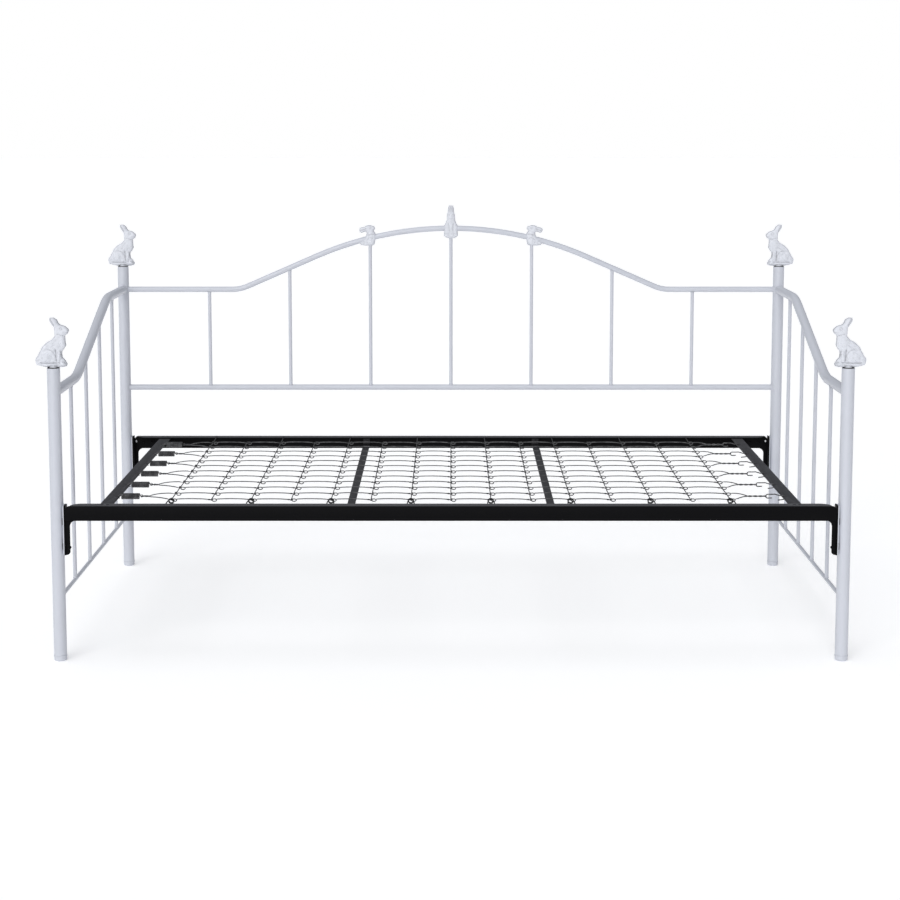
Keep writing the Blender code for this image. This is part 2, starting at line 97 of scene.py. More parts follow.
world = bpy.data.worlds.new("studio")
world.use_nodes = True
bpy.context.scene.world = world
sky = world.node_tree
backdrop = sky.nodes["Background"]
backdrop.inputs["Color"].default_value = (1, 1, 1, 1)
room = sky.nodes.new("ShaderNodeBackground")
direction = sky.nodes.new("ShaderNodeTexCoord")
height = sky.nodes.new("ShaderNodeSeparateXYZ")
room_shade = sky.nodes.new("ShaderNodeValToRGB")
room_shade.color_ramp.elements[0].position = 0.0
room_shade.color_ramp.elements[0].color = (0.30, 0.305, 0.32, 1)
room_shade.color_ramp.elements[1].position = 0.75
room_shade.color_ramp.elements[1].color = (0.44, 0.45, 0.47, 1)
seen = sky.nodes.new("ShaderNodeLightPath")
either = sky.nodes.new("ShaderNodeMixShader")
sky.links.new(direction.outputs["Generated"], height.inputs[0])
sky.links.new(height.outputs["Z"], room_shade.inputs[0])
sky.links.new(room_shade.outputs[0], room.inputs["Color"])
sky.links.new(seen.outputs["Is Camera Ray"], either.inputs[0])
sky.links.new(room.outputs[0], either.inputs[1])
sky.links.new(backdrop.outputs[0], either.inputs[2])
sky.links.new(either.outputs[0], sky.nodes["World Output"].inputs["Surface"])


class Value:
    """A number or colour that varies over a surface. Sums and products of numbers add their Math nodes."""

    def __init__(self, finish, socket):
        self.finish = finish
        self.socket = socket

    def math(self, operation, first, second):
        return self.finish.node("ShaderNodeMath", {"operation": operation}, {0: first, 1: second})

    def __add__(self, other):
        return self.math("ADD", self, other)

    def __mul__(self, other):
        return self.math("MULTIPLY", self, other)

    __radd__ = __add__
    __rmul__ = __mul__


class Finish:
    """A Principled material whose pattern is laid out in the piece's own metres."""

    def __init__(self, name, **constants):
        self.material = bpy.data.materials.new(name)
        self.material.use_nodes = True
        self.tree = self.material.node_tree
        self.shader = self.tree.nodes["Principled BSDF"]
        for socket, value in constants.items():
            self.shader.inputs[socket.replace("_", " ")].default_value = value
        self.place = self.node("ShaderNodeTexCoord", {}, {}, "Object")

    def node(self, kind, settings, sockets, out=0):
        """Adds a node: its settings first, then the values or links of its sockets. Gives one output."""
        step = self.tree.nodes.new(kind)
        for key, value in settings.items():
            if key == "stops":
                for stop, (position, grey) in zip(step.color_ramp.elements, value):
                    stop.position = position
                    stop.color = (grey, grey, grey, 1)
            else:
                setattr(step, key, value)
        for key, value in sockets.items():
            if isinstance(value, Value):
                self.tree.links.new(value.socket, step.inputs[key])
            else:
                step.inputs[key].default_value = value
        return Value(self, step.outputs[out])

    def grain(self, per_metre, detail=2.0, stretch=(1, 1, 1)):
        """Noise with that many blotches to a metre, from 0 to 1."""
        spread = self.node("ShaderNodeMapping", {}, {"Vector": self.place, "Scale": stretch})
        return self.node("ShaderNodeTexNoise", {}, {"Vector": spread, "Scale": per_metre, "Detail": detail})

    def step(self, value, low, high):
        """Turns a value into 0 below low and 1 above high."""
        return self.node("ShaderNodeValToRGB", {"stops": ((low, 0), (high, 1))}, {0: value})

    def blend(self, amount, first, second):
        """A colour between two others."""
        settings = {"data_type": "RGBA"}
        return self.node("ShaderNodeMix", settings, {0: amount, 6: first, 7: second}, 2)

    def color(self, value):
        self.tree.links.new(value.socket, self.shader.inputs["Base Color"])

    def roughness(self, value):
        self.tree.links.new(value.socket, self.shader.inputs["Roughness"])

    def bumps(self, value, depth, strength=1.0):
        """Raises the surface by value times depth, in metres."""
        raised = self.node("ShaderNodeBump", {}, {"Height": value, "Distance": depth, "Strength": strength})
        self.tree.links.new(raised.socket, self.shader.inputs["Normal"])


matt = Finish("floor_paint", Roughness=0.9, Emission_Strength=0.285)
matt.shader.inputs["Emission Color"].default_value = (1, 1, 1, 1)
matt.color(matt.blend(matt.grain(1.5), (0.93, 0.93, 0.935, 1), (0.95, 0.95, 0.95, 1)))
bm = bmesh.new()
FLOOR_HALF = 60
bmesh.ops.create_grid(bm, x_segments=1, y_segments=1, size=FLOOR_HALF)
mesh = bpy.data.meshes.new("floor")
bm.to_mesh(mesh)
bm.free()
mesh.materials.append(matt.material)
floor = bpy.data.objects.new("floor", mesh)
bpy.context.scene.collection.objects.link(floor)
floor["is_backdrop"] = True

# ---------------------------------------------------------------- posts
# Four round steel tubes, 32 mm across, closed at the floor by a ribbed plastic glide and at the top by a
# pressed-in plastic disc. Everything white wears one powder coat, cured to a soft orange peel.

POST_NAMES = [f"{end}_{side}" for end in ("front", "rear") for side in ("left", "right")]


def powder_coat(name, tint, roughness):
    """Semi-gloss powder coat: a cool white with a fine orange peel, a little thicker in some places, and
    painted shade on castings, darker in their grooves and at their rims.
    """
    coat = Finish(name, Coat_Weight=0.08, Coat_Roughness=0.25, IOR=1.48)
    hollow = coat.node("ShaderNodeAttribute", {"attribute_name": "hollow"}, {}, 2)
    deep = tuple(c * 0.93 for c in tint)
    shaded = tuple(c * 0.45 for c in tint)
    fresh = coat.blend(coat.grain(9, 3), (*deep, 1), (*tint, 1))
    # Painted shade: the colour goes towards the shaded tint where a casting's hollow weight is high. Pieces
    # without that weight are left unshaded.
    coat.color(coat.blend(hollow, fresh, (*shaded, 1)))
    peel = coat.grain(420, 2)
    coat.roughness(roughness - 0.05 + 0.1 * coat.grain(60, 3) + 0.04 * peel)
    coat.bumps(peel + 0.35 * coat.grain(1500, 1), 0.00035, 0.45)
    return coat.material


POWDER = powder_coat("white_powder_coat", (0.565, 0.585, 0.645), 0.36)


def piece(name, bm, material, body, slot, *nodes, sharp=35):
    """Makes a finished bmesh, drawn in place, a piece that rides on a body and stands for CAD nodes."""
    mesh = bpy.data.meshes.new(name)
    bm.to_mesh(mesh)
    bm.free()
    mesh.shade_smooth()
    mesh.set_sharp_from_angle(angle=math.radians(sharp))
    mesh.materials.append(material)
    thing = bpy.data.objects.new(name, mesh)
    bpy.context.scene.collection.objects.link(thing)
    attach(thing, body)
    if nodes:
        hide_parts(*nodes)
    return thing


def turned(bm, profile, centre, axis, start, sides):
    """Adds a closed shape turned from points of (radius, distance along the axis)."""
    made = bmesh.new()
    ring = [made.verts.new(centre + r * start + h * axis) for r, h in profile]
    edges = [made.edges.new(pair) for pair in zip(ring, ring[1:])]
    bmesh.ops.spin(
        made, geom=ring + edges, cent=centre, axis=axis, angle=math.tau, steps=sides, use_merge=True
    )
    bmesh.ops.remove_doubles(made, verts=made.verts, dist=1e-6)
    bmesh.ops.recalc_face_normals(made, faces=made.faces)
    add(bm, made)


def add(bm, made):
    """Adds a finished bmesh to another one."""
    mesh = bpy.data.meshes.new("part")
    made.to_mesh(mesh)
    made.free()
    bm.from_mesh(mesh)
    bpy.data.meshes.remove(mesh)


def arc(centre, radius, start, end, steps):
    """Points of (u, v) along an arc, from angle start to angle end in degrees."""
    turns = [math.radians(start + (end - start) * k / steps) for k in range(steps + 1)]
    return [(centre[0] + radius * math.cos(t), centre[1] + radius * math.sin(t)) for t in turns]


POST_SIDES = 48
POST_WALL = 0.0019
DISC_DEPTH = 0.0012  # from the top of the tube down to its plastic disc
TUBE_EDGE = 0.0012
GLIDE = 0.014  # height of the plastic glide
GLIDE_LIP = 0.0006
GLIDE_ROUND = 0.003
GLIDE_JOINT = 0.0002  # gap between the glide and the tube
POSTS = {}
for name in POST_NAMES:
    low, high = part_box(f"{name}_post")
    radius = (high.x - low.x) / 2
    foot = Vector(((low.x + high.x) / 2, (low.y + high.y) / 2, 0))
    POSTS[name] = (foot, radius, high.z)
    top = high.z
    bm = bmesh.new()
    profile = [(0, GLIDE), (radius, GLIDE)]
    profile += arc((radius - TUBE_EDGE, top - TUBE_EDGE), TUBE_EDGE, 0, 90, 5)
    profile += [(radius - POST_WALL, top), (radius - POST_WALL, top - DISC_DEPTH), (0, top - DISC_DEPTH)]
    turned(bm, profile, foot, Z, X, POST_SIDES)
    rim = radius + GLIDE_LIP
    profile = [(0, 0), (radius - GLIDE_ROUND, 0)]
    profile += arc((radius - GLIDE_ROUND, GLIDE_ROUND), GLIDE_ROUND, -90, 0, 5)
    profile += [(radius, GLIDE - 0.004), (rim, GLIDE - 0.0035), (rim, GLIDE - 0.0006)]
    profile += [(radius, GLIDE - GLIDE_JOINT), (0, GLIDE - GLIDE_JOINT)]
    turned(bm, profile, foot, Z, X, POST_SIDES)
    piece(f"{name}_upright", bm, POWDER, "bedstead", "white_powder_coat", f"{name}_post")

# ---------------------------------------------------------------- back panel
# The arched rail is one 16 mm steel tube, bent cold; a straight one runs below it. Seven 10 mm rods stand
# between them, their ends melted into small weld flares.


def bars(bm, paths, radius, sides=24, swell=None, closed=False):
    """Adds a round bar along each path. swell gives how much thicker a bar is at each of its points."""
    curve = bpy.data.curves.new("bar", "CURVE")
    curve.dimensions = "3D"
    curve.bevel_depth = radius
    curve.bevel_resolution = (sides - 4) // 2
    curve.use_fill_caps = True
    for path in paths:
        run = curve.splines.new("POLY")
        run.points.add(len(path) - 1)
        run.use_cyclic_u = closed
        for k, p in enumerate(path):
            run.points[k].co = (*p, 1)
            run.points[k].radius = swell[k] if swell else 1
    holder = bpy.data.objects.new("bar", curve)
    mesh = bpy.data.meshes.new_from_object(holder)
    made = bmesh.new()
    made.from_mesh(mesh)
    bmesh.ops.remove_doubles(made, verts=made.verts, dist=1e-6)
    bmesh.ops.recalc_face_normals(made, faces=made.faces)
    bpy.data.objects.remove(holder)
    bpy.data.curves.remove(curve)
    bpy.data.meshes.remove(mesh)
    add(bm, made)


def swept(bm, path, radius, sides=24, swell=None, closed=False):
    """Adds one round bar along a path."""
    bars(bm, [path], radius, sides, swell, closed)


def rod(bm, low, high, radius, flare=0.0012):
    """Adds a straight rod whose two ends swell into the weld."""
    length = (high - low).length
    marks = (0, 0.0012, 0.0028, 0.006)
    swells = (flare, 0.7 * flare, 0.25 * flare, 0)
    ways = [*marks, *(length - m for m in reversed(marks))]
    grown = [1 + s / radius for s in (*swells, *reversed(swells))]
    swept(bm, [low.lerp(high, w / length) for w in ways], radius, 20, grown)


def weld(bm, centre, along, across, post_radius, rail_radius, bead=0.0011):
    """Adds the weld bead round a tube where it meets the side of a thicker one, in overlapping drops."""
    up = along.cross(across)
    path, swell = [], []
    steps = 40
    for k in range(steps):
        t = math.tau * k / steps
        reach = math.sqrt(post_radius**2 - (rail_radius * math.cos(t)) ** 2)
        ring = rail_radius * (math.cos(t) * across + math.sin(t) * up)
        path.append(centre + ring + along * (reach + 0.0002))
        swell.append(1 + 0.14 * math.cos(t * 10) + 0.1 * noise.noise(path[-1] * 300))
    swept(bm, path, bead, 8, swell, True)


low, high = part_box("back_top_rail")
BACK_Y = (low.y + high.y) / 2
BACK_RADIUS = (high.y - low.y) / 2
RAIL_TOP = low.z + BACK_RADIUS
ARCH_TOP = high.z - BACK_RADIUS
HALF_X = POSTS["rear_right"][0].x
POST_RADIUS = POSTS["rear_right"][1]
ARCH_RADIUS = 1.0
ARCH_HALF = 0.40  # half the width of the round top
KNEE_BEND = 0.12
ROD_SINK = 0.0006  # how far the end of a rod goes into its tube


def arch_outline():
    """The back rail's centre line as (x, z): level, a quick bend up, a slope, and a round top."""
    slope = math.degrees(math.asin(ARCH_HALF / ARCH_RADIUS))
    top = arc((0, ARCH_TOP - ARCH_RADIUS), ARCH_RADIUS, 90 + slope, 90 - slope, 64)
    rise = top[0][1] - RAIL_TOP
    knee = ARCH_HALF + rise / math.tan(math.radians(slope))
    start = knee + KNEE_BEND * math.tan(math.radians(slope / 2))
    left = arc((-start, RAIL_TOP + KNEE_BEND), KNEE_BEND, -90, slope - 90, 14)
    right = [(-u, v) for u, v in reversed(left)]
    return [(-HALF_X, RAIL_TOP), *left, *top, *right, (HALF_X, RAIL_TOP)]


def along_outline(outline, at):
    """The height of an outline and its direction at one place along it."""
    for (u0, v0), (u1, v1) in zip(outline, outline[1:]):
        if u0 <= at <= u1:
            return v0 + (v1 - v0) * (at - u0) / (u1 - u0), Vector((u1 - u0, v1 - v0)).normalized()
    raise ValueError(at)


ARCH = arch_outline()
bm = bmesh.new()
swept(bm, [Vector((x, BACK_Y, z)) for x, z in ARCH], BACK_RADIUS, 32)
for side in (-1, 1):
    weld(bm, Vector((side * HALF_X, BACK_Y, RAIL_TOP)), -side * X, Y, POST_RADIUS, BACK_RADIUS)
piece("back_arch", bm, POWDER, "bedstead", "white_powder_coat", "back_top_rail")

low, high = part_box("back_lower_rail")
BACK_LOWER = (low.z + high.z) / 2
bm = bmesh.new()
ends = [Vector((side * HALF_X, BACK_Y, BACK_LOWER)) for side in (-1, 1)]
swept(bm, ends, BACK_RADIUS, 32)
for side, end in zip((-1, 1), ends):
    weld(bm, end, -side * X, Y, POST_RADIUS, BACK_RADIUS)
piece("back_bottom_tube", bm, POWDER, "bedstead", "white_powder_coat", "back_lower_rail")

for k in range(1, 8):
    low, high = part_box(f"back_spindle_{k}")
    x = (low.x + high.x) / 2
    radius = (high.x - low.x) / 2
    height, slope = along_outline(ARCH, x)
    bm = bmesh.new()
    lower = Vector((x, BACK_Y, BACK_LOWER + BACK_RADIUS - ROD_SINK))
    rod(bm, lower, Vector((x, BACK_Y, height - BACK_RADIUS + ROD_SINK)), radius)
    piece(f"back_rod_{k}", bm, POWDER, "bedstead", "white_powder_coat", f"back_spindle_{k}")

# ---------------------------------------------------------------- end panels
# Each end has a 25 mm arm tube, bent in a soft S from the front post up to the rear one, a 10 mm rod low
# down, and four 10 mm rods between them, all welded.

ARM_SLOPE = 20  # degrees
ARM_BEND = 0.25
BOTTOM_ROD_SINK = 0.0008
for side_name, side in (("left", -1), ("right", 1)):
    low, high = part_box(f"{side_name}_arm_rail")
    x = (low.x + high.x) / 2
    arm_radius = (high.x - low.x) / 2
    front, back = low.z + arm_radius, high.z - arm_radius
    slope = math.radians(ARM_SLOPE)
    knee = (back - front) / 2 / math.tan(slope) + ARM_BEND * math.tan(slope / 2)
    down = arc((-knee, front + ARM_BEND), ARM_BEND, -90, ARM_SLOPE - 90, 16)
    up = [(-u, front + back - v) for u, v in reversed(down)]
    half_y = POSTS["rear_left"][0].y
    arm = [(-half_y, front), *down, *up, (half_y, back)]
    bm = bmesh.new()
    swept(bm, [Vector((x, y, z)) for y, z in arm], arm_radius, 36)
    weld(bm, Vector((x, -half_y, front)), Y, X, POST_RADIUS, arm_radius)
    weld(bm, Vector((x, half_y, back)), -Y, X, POST_RADIUS, arm_radius)
    piece(f"{side_name}_arm", bm, POWDER, "bedstead", "white_powder_coat", f"{side_name}_arm_rail")

    low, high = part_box(f"{side_name}_lower_rail")
    foot_z = (low.z + high.z) / 2
    rod_radius = (high.z - low.z) / 2
    bm = bmesh.new()
    reach = half_y - POST_RADIUS + BOTTOM_ROD_SINK
    rod(bm, Vector((x, -reach, foot_z)), Vector((x, reach, foot_z)), rod_radius)
    piece(f"{side_name}_bottom_rod", bm, POWDER, "bedstead", "white_powder_coat", f"{side_name}_lower_rail")
    for k in range(1, 5):
        low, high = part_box(f"{side_name}_spindle_{k}")
        y = (low.y + high.y) / 2
        height, slope = along_outline(arm, y)
        drop = arm_radius / slope.x
        bm = bmesh.new()
        start = Vector((x, y, foot_z + rod_radius - 2 * ROD_SINK))
        rod(bm, start, Vector((x, y, height - drop + ROD_SINK)), rod_radius)
        name = f"{side_name}_spindle_{k}"
        piece(f"{side_name}_rod_{k}", bm, POWDER, "bedstead", "white_powder_coat", name)

# ---------------------------------------------------------------- rabbits on the posts
# Four sitting rabbits, cast in aluminium with fur, haunch and ears in relief, coated white like the frame.
# Each is screwed down on a stud over a thin black washer, painted shade for the dark gap under it, and faces
# the middle of the daybed.

CAST = powder_coat("white_painted_casting", (0.70, 0.72, 0.78), 0.42)
# The washer's black is painted shade: it stands for the shadow in the gap between post and rabbit.
GAP_SHADE_WASHER = Finish("black_washer_painted_gap_shade", Roughness=0.7)
GAP_SHADE_WASHER.color(GAP_SHADE_WASHER.blend(GAP_SHADE_WASHER.grain(300), (0.012, 0.012, 0.013, 1), (0.03, 0.03, 0.032, 1)))
MM = 0.001


def plate(bm, outline, holes, sheet, origin, across, up, edge=0.0005):
    """Adds a flat plate from outlines in (across, up), its thickness along a third way, its edges eased."""
    made = bmesh.new()
    rims = []
    for loop in (outline, *holes):
        ring = [made.verts.new(origin + u * across + v * up) for u, v in loop]
        rims += [made.edges.new(pair) for pair in zip(ring, [*ring[1:], ring[0]])]
    bmesh.ops.triangle_fill(made, use_beauty=True, edges=rims)
    grown = bmesh.ops.extrude_face_region(made, geom=made.faces[:])
    moved = [part for part in grown["geom"] if isinstance(part, bmesh.types.BMVert)]
    bmesh.ops.translate(made, verts=moved, vec=sheet)
    bmesh.ops.recalc_face_normals(made, faces=made.faces)
    sharp = [e for e in made.edges if e.calc_face_angle(0) > 0.6]
    bmesh.ops.bevel(
        made, geom=sharp, offset=edge, segments=2, profile=0.5, affect="EDGES", clamp_overlap=True
    )
    add(bm, made)


def melted(bm, voxel):
    """Melts the shapes of a bmesh into one even skin."""
    mesh = bpy.data.meshes.new("melt")
    bm.to_mesh(mesh)
    bm.free()
    holder = bpy.data.objects.new("melt", mesh)
    bpy.context.scene.collection.objects.link(holder)
    melt = holder.modifiers.new("melt", "REMESH")
    melt.mode = "VOXEL"
    melt.voxel_size = voxel
    ready = holder.evaluated_get(bpy.context.evaluated_depsgraph_get())
    skin = bmesh.new()
    skin.from_mesh(ready.data)
    bpy.data.objects.remove(holder)
    bpy.data.meshes.remove(mesh)
    return skin


def cast(outline, half, round_off, blobs, voxel, rounds, relief):
    """Casts a figure facing +X, in millimetres: a slab with a rounded outline, its parts raised on it as
    balls (centre, radii, tilt in degrees), all melted together and carved by relief."""
    made = bmesh.new()
    plate(made, outline, [], 2 * half * Y, -half * Y, X, Z, 0.4)
    made = melted(made, voxel * 1.3)
    edges = list(zip(outline, [*outline[1:], outline[0]]))
    for v in made.verts:
        near = min(from_line(v.co.x, v.co.z, *edge) for edge in edges)
        t = 1 - min(near / round_off, 1)
        v.co.y *= 0.25 + 0.75 * math.sqrt(max(0, 1 - t * t))
    for centre, radii, tilt in blobs:
        turn = Matrix.Rotation(-math.radians(tilt), 4, "Y")
        place = Matrix.Translation(centre) @ turn @ Matrix.Diagonal((*radii, 1))
        bmesh.ops.create_icosphere(made, subdivisions=4, radius=1, matrix=place)
    skin = melted(made, voxel)
    for _ in range(rounds):
        bmesh.ops.smooth_vert(
            skin, verts=skin.verts, factor=0.5, use_axis_x=True, use_axis_y=True, use_axis_z=True
        )
    skin.normal_update()
    # hollow is a painted shade weight: a little everywhere, more in the grooves the relief carves, and most
    # at the rims, where the skin turns away from the flat sides.
    hollow = skin.verts.layers.float.new("hollow")
    moves = [relief(v.co) for v in skin.verts]
    for v, move in zip(skin.verts, moves):
        rim = (1 - abs(v.normal.y)) ** 2
        v[hollow] = max(0, min(1, 0.08 - move / 2 + 0.75 * rim))
        v.co += v.normal * move
    bmesh.ops.scale(skin, vec=(MM, MM, MM), verts=skin.verts)
    return skin


def ridge(distance, width):
    """A soft ridge, 1 at its crest, that fades at a width from it."""
    return math.exp(-((distance / width) ** 2))


def from_line(u, w, start, end):
    """Distance of a point from a straight line between two points, in the flat of the casting."""
    a, b = Vector(start), Vector(end)
    t = max(0, min(1, (Vector((u, w)) - a).dot(b - a) / (b - a).length_squared))
    return (Vector((u, w)) - a.lerp(b, t)).length


def fur(p, lean):
    """Short strokes of fur that lean at an angle, from about -1 to 1."""
    t = math.radians(lean)
    along = p.x * math.cos(t) + p.z * math.sin(t)
    over = p.z * math.cos(t) - p.x * math.sin(t)
    coarse = noise.noise(Vector((along * 0.16, p.y * 0.3, over * 0.52)))
    fine = noise.noise(Vector((along * 0.4, p.y * 0.6, over * 1.1)))
    return coarse + 0.6 * fine


SITTING_OUTLINE = [
    *((-38, 7), (-16, 2.3), (16, 2.3), (26, 3), (33, 5), (35, 10), (30, 19), (23, 27), (21.5, 40), (27, 47)),
    *((32, 56), (31, 68), (30, 80), (37, 85), (41, 92), (38, 97), (31, 103), (18, 107), (14, 112), (11, 119)),
    *((3, 124), (-7, 123), (-7, 115), (-1, 106), (4, 99), (5, 78), (-2, 70), (-17, 61), (-26, 52), (-31, 42)),
    *((-38, 29), (-42, 25), (-43, 19), (-41, 9)),
]
SITTING = [
    ((-15, 0, 27), (17, 12.6, 17), 0),  # haunches
    ((-4, 0, 42), (22, 11.5, 15), 48),  # back
    ((12, 0, 56), (18, 10.5, 12.5), 70),  # shoulders and chest
    ((17.5, 0, 76), (12, 9, 10.5), 92),  # neck
    ((20, 0, 94), (15, 9, 9), -20),  # head
    ((33, 0, 90.5), (6.2, 6.6, 5.2), -20),  # muzzle
    ((25, 5, 89), (6.5, 4.6, 5.5), -20),  # cheeks
    ((25, -5, 89), (6.5, 4.6, 5.5), -20),
    ((3.5, 3.2, 111.5), (10.5, 3.0, 5), 118),  # ears
    ((2.5, -3.2, 111.5), (10.5, 3.0, 5), 122),
    ((15, 7, 30), (17, 4.4, 5.6), 86),  # forelegs
    ((15, -7, 30), (17, 4.4, 5.6), 86),
    ((23, 7, 11), (9.5, 4.4, 5.6), -6),  # forepaws
    ((23, -7, 11), (9.5, 4.4, 5.6), -6),
    ((-9, 8.5, 10), (22, 4.4, 4.6), 0),  # hind feet
    ((-9, -8.5, 10), (22, 4.4, 4.6), 0),
    ((-36, 0, 18.5), (6, 9, 6), 0),  # tail
]


def sitting_relief(p):
    """How far the skin of a sitting rabbit stands out at a point: fur, haunch, legs, eye, nose and ears."""
    u, w = p.x, p.z
    high = 0.75 * fur(p, 62 if u > 4 else 38) * (0.4 if w > 84 else 1)
    round_haunch = math.hypot(u + 13, (w - 27) * 1.02)
    fade = max(0, math.cos(math.atan2(w - 27, u + 13) - 0.6))
    high -= 0.9 * fade * ridge(round_haunch - 20, 1.6)
    high += 0.4 * fade * ridge(round_haunch - 15, 3.5)
    high -= 1.3 * ridge(from_line(u, w, (8, 46), (9, 18)), 1.3)
    high -= 1.1 * ridge(from_line(u, w, (-30, 13.5), (17, 14)), 1.1)
    high -= 0.9 * ridge(from_line(u, w, (12, 84), (27, 80)), 1.3)
    high -= 0.8 * ridge(from_line(u, w, (33, 87), (40, 89.5)), 0.7)
    for start in ((26, 16), (29, 16)):
        high -= 0.7 * ridge(from_line(u, w, start, (start[0] + 4, 7)), 0.8)
    for scallop, lift in ((26, 55), (22, 62), (24, 70)):
        high += 0.6 * ridge(math.hypot(u - scallop, w - lift) - 3.2, 1.1)
    eye = math.hypot(u - 22, w - 97)
    high += 1.3 * ridge(eye, 1.5) - 0.9 * ridge(eye - 3, 0.9)
    high -= 1.1 * ridge(math.hypot(u - 39.5, w - 93.5), 1.1)
    if w > 101:
        hollow = (4, 105), (-4, 120)
        if p.y > 0:
            hollow = (11, 105), (2.5, 120)
        high -= 1.3 * ridge(from_line(u, w, *hollow), 1.8)
    return high


def mirrored(bm):
    """Turns a casting to face the other way."""
    bmesh.ops.scale(bm, vec=(-1, 1, 1), verts=bm.verts)
    bmesh.ops.reverse_faces(bm, faces=bm.faces)


SLAB_HALF = 8.5  # half the thickness of a casting's slab, in millimetres
SITTING_MASTER = cast(SITTING_OUTLINE, SLAB_HALF, 9, SITTING, 0.85, 4, sitting_relief)
STUD_LENGTH = 0.026
STUD_RADIUS = 0.0038
BOSS_RADIUS = 0.0095
BOSS_LOW, BOSS_HIGH = 0.0004, 0.008
WASHER_HOLE = 0.0101
WASHER_LOW, WASHER_TOP = -0.0008, 0.0016
for name in POST_NAMES:
    foot, radius, top = POSTS[name]
    rabbit = SITTING_MASTER.copy()
    if foot.x > 0:
        mirrored(rabbit)
    centre = Vector((foot.x, foot.y, top))
    bmesh.ops.translate(rabbit, verts=rabbit.verts, vec=centre)
    tip = BOSS_LOW - STUD_LENGTH
    profile = [(0, tip), (STUD_RADIUS, tip), (STUD_RADIUS + 0.0002, BOSS_LOW), (BOSS_RADIUS, BOSS_LOW)]
    profile += [(BOSS_RADIUS, BOSS_HIGH), (0, BOSS_HIGH)]
    turned(rabbit, profile, centre, Z, X, 32)
    piece(f"{name}_rabbit", rabbit, CAST, f"{name}_finial", "white_cast", f"{name}_finial", sharp=60)
    bm = bmesh.new()
    rim = radius - TUBE_EDGE
    profile = [(WASHER_HOLE, WASHER_LOW), (rim, WASHER_LOW), (rim, WASHER_TOP)]
    profile += [(WASHER_HOLE, WASHER_TOP), (WASHER_HOLE, WASHER_LOW)]
    turned(bm, profile, centre, Z, X, 40)
    piece(f"{name}_washer", bm, GAP_SHADE_WASHER.material, "bedstead", "black_enamel")

# ---------------------------------------------------------------- rabbits on the arch
# Three smaller castings grip the arched rail over its middle spindles: one upright with its ears up, seen
# from the front, between two that lie along the rail with their ears laid back.

LYING_OUTLINE = [
    *((-17, -22), (8, -22), (13, -18), (15, -9), (16, 13), (10, 22), (15, 28), (13, 34), (0, 38.5)),
    *((-9, 37.5), (-17, 33), (-29, 30.5), (-33, 25), (-31, 19), (-25, 15), (-17, 19), (-10, 17), (-11, 10)),
    *((-16, -1), (-26, -9), (-31, -15), (-27, -20.5)),
]
LYING = [
    ((2, 0, 30), (10.5, 7.8, 7), -12),  # head
    ((-19.5, 3.6, 25), (11, 2.8, 5), 20),  # ears
    ((-19.5, -3.6, 25), (11, 2.8, 5), 20),
    ((2, 0, 13), (11, 10, 11), 0),  # neck
    ((1, 0, 1), (13, 10.6, 14), 0),  # body, round the rail
    ((1, 0, -10), (11.5, 10.6, 10.5), 0),  # haunch
    ((-21, 0, -14), (7, 9, 6), 0),  # tail
    ((6, 0, -16.5), (6.5, 9.6, 4.8), 0),  # paws
]


def lying_relief(p):
    """The relief of a rabbit that lies along the rail."""
    u, w = p.x, p.z
    high = 0.45 * fur(p, 70)
    swirl = math.hypot(u - 1, w + 9)
    high -= 0.7 * ridge(swirl - 10.5, 1.2) * (1 if w > -14 else 0.3)
    high += 0.3 * ridge(swirl - 7, 1.6) + 0.3 * ridge(swirl, 2.5)
    high -= 0.4 * ridge(math.hypot(u + 22.5, w + 14) - 5.8, 1.2)
    high -= 0.9 * ridge(from_line(u, w, (-8, 9), (12, 12)), 1.1)
    for at in ((11, 8), (11.5, -2)):
        high += 0.9 * ridge(math.hypot(u - at[0], w - at[1]), 2)
    eye = math.hypot(u - 1, w - 30)
    high += 0.9 * ridge(eye, 1.2) - 0.6 * ridge(eye - 2.4, 0.8)
    if u < -8 and w > 12:
        high -= 1.0 * ridge(from_line(u, w, (-12, 27.5), (-28, 22.5)), 1.5)
    return high


HALF_UPRIGHT = [(6, -30), (14, -27), (21, -22), (20, -9), (20, 8), (16, 15), (12.5, 24), (12, 37), (9, 50)]
HALF_UPRIGHT += [(8.5, 58), (6, 67)]
UPRIGHT_OUTLINE = HALF_UPRIGHT + [(-u, w) for u, w in reversed(HALF_UPRIGHT)]
UPRIGHT = [
    ((-4, 0, 56), (3.6, 4, 10.5), -2),  # ears
    ((4, 0, 56), (3.6, 4, 10.5), 2),
    ((0, -1.2, 35), (10.5, 9.4, 11), 0),  # head
    ((0, -5.5, 30), (5.6, 5, 5), 0),  # muzzle
    ((0, 0, 20), (11, 10, 11), 0),  # neck
    ((0, 0, 4), (16, 10.6, 16), 0),  # shoulders, round the rail
    ((0, 0, -12), (16.5, 10.6, 12), 0),  # belly
    ((-13.5, -3, -20.5), (6.4, 7.4, 5.4), 0),  # feet
    ((13.5, -3, -20.5), (6.4, 7.4, 5.4), 0),
    ((0, -1, -23.5), (6.8, 8.6, 5), 0),  # tail
]


def upright_relief(p):
    """The relief of the upright rabbit, the same on its two sides."""
    u, w = abs(p.x), p.z
    high = 0.4 * fur(p, 85)
    if p.y < 0:
        eye = math.hypot(u - 6, w - 39)
        high += 0.9 * ridge(eye, 1.3) - 0.6 * ridge(eye - 2.6, 0.8)
        high += 0.9 * ridge(math.hypot(u, w - 32.5), 1.3)
        high -= 0.7 * ridge(from_line(u, w, (0, 27), (3.6, 28.5)), 0.7)
        high -= 0.8 * ridge(from_line(u, w, (4, 50), (3.6, 61)), 1.6)
        high -= 0.9 * ridge(from_line(u, w, (7, 14), (5, -8)), 1.1)
        high -= 0.4 * ridge(math.hypot(u, w + 17) - 7.5, 1.3)
        high -= 0.5 * ridge(from_line(u, w, (9, -14), (19, -16)), 1.2)
    high -= 0.9 * ridge(u, 0.9) * max(0, min(1, (w - 46) / 5))
    return high


